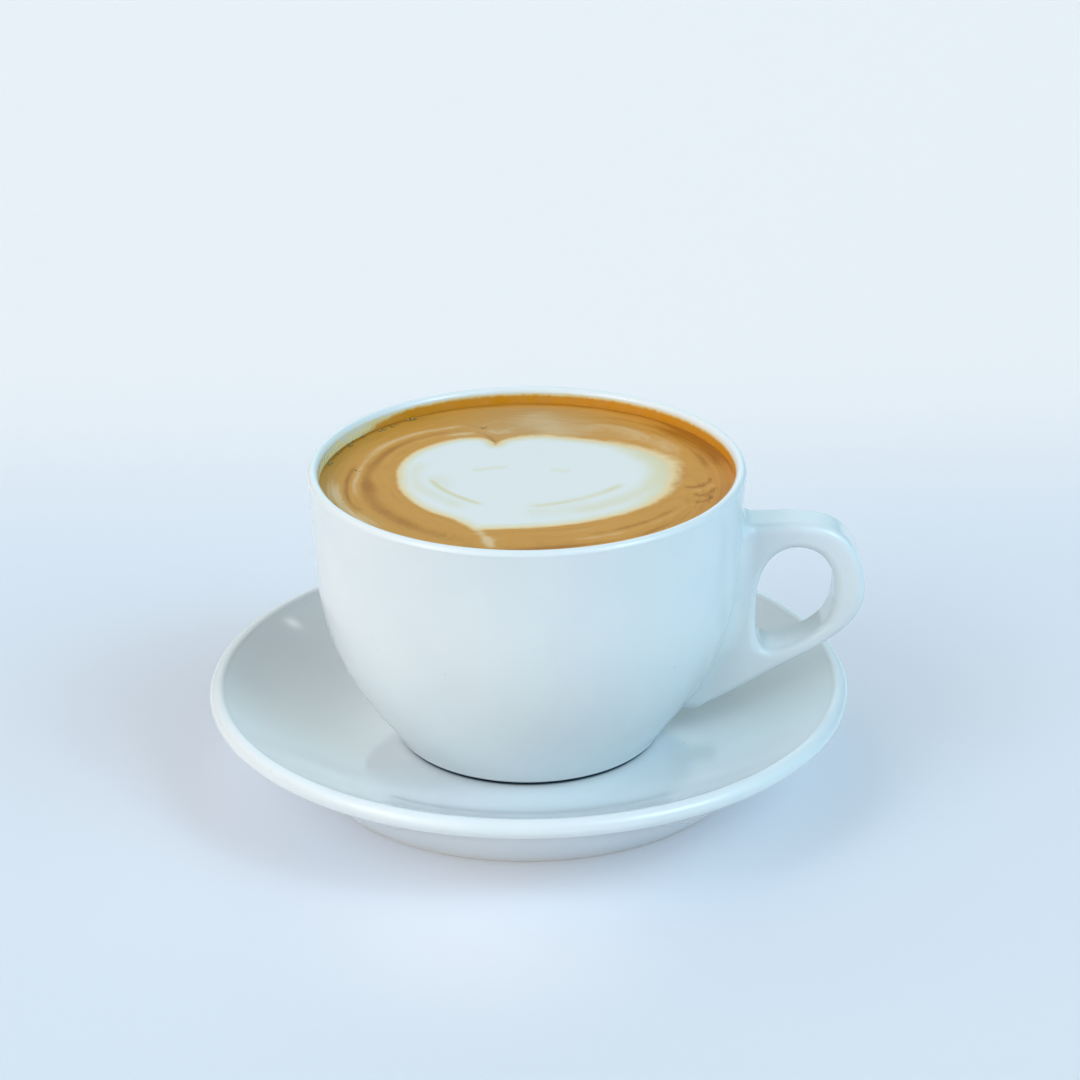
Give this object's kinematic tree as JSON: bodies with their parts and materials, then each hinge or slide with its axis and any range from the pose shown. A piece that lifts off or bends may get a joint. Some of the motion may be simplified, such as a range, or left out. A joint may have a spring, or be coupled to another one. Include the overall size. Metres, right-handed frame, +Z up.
{
  "type": "cup of cappuccino on a saucer",
  "caption": "Glazed white cup with a looped handle on a round dished saucer, filled with cappuccino that carries a white milk foam heart in tan crema.",
  "frame": {"origin": "midway along the whole length, handle included, and midway across, in the plane that the saucer's foot ring rests on; the axis of the cup and saucer lies 1.6 mm from it towards -X", "axes": "+Z up along the cup's axis, +X along the handle, away from the cup"},
  "size_m": [0.1552, 0.152, 0.0775],
  "materials": {
    "saucer_glaze": "gloss",
    "cup_glaze": "gloss",
    "crema": "satin",
    "milk_foam": "satin"
  },
  "bodies": {
    "root": {"saucer": "saucer_glaze", "cup": "cup_glaze", "coffee": "crema", "milk_foam_heart": "milk_foam"}
  },
  "joints": []
}
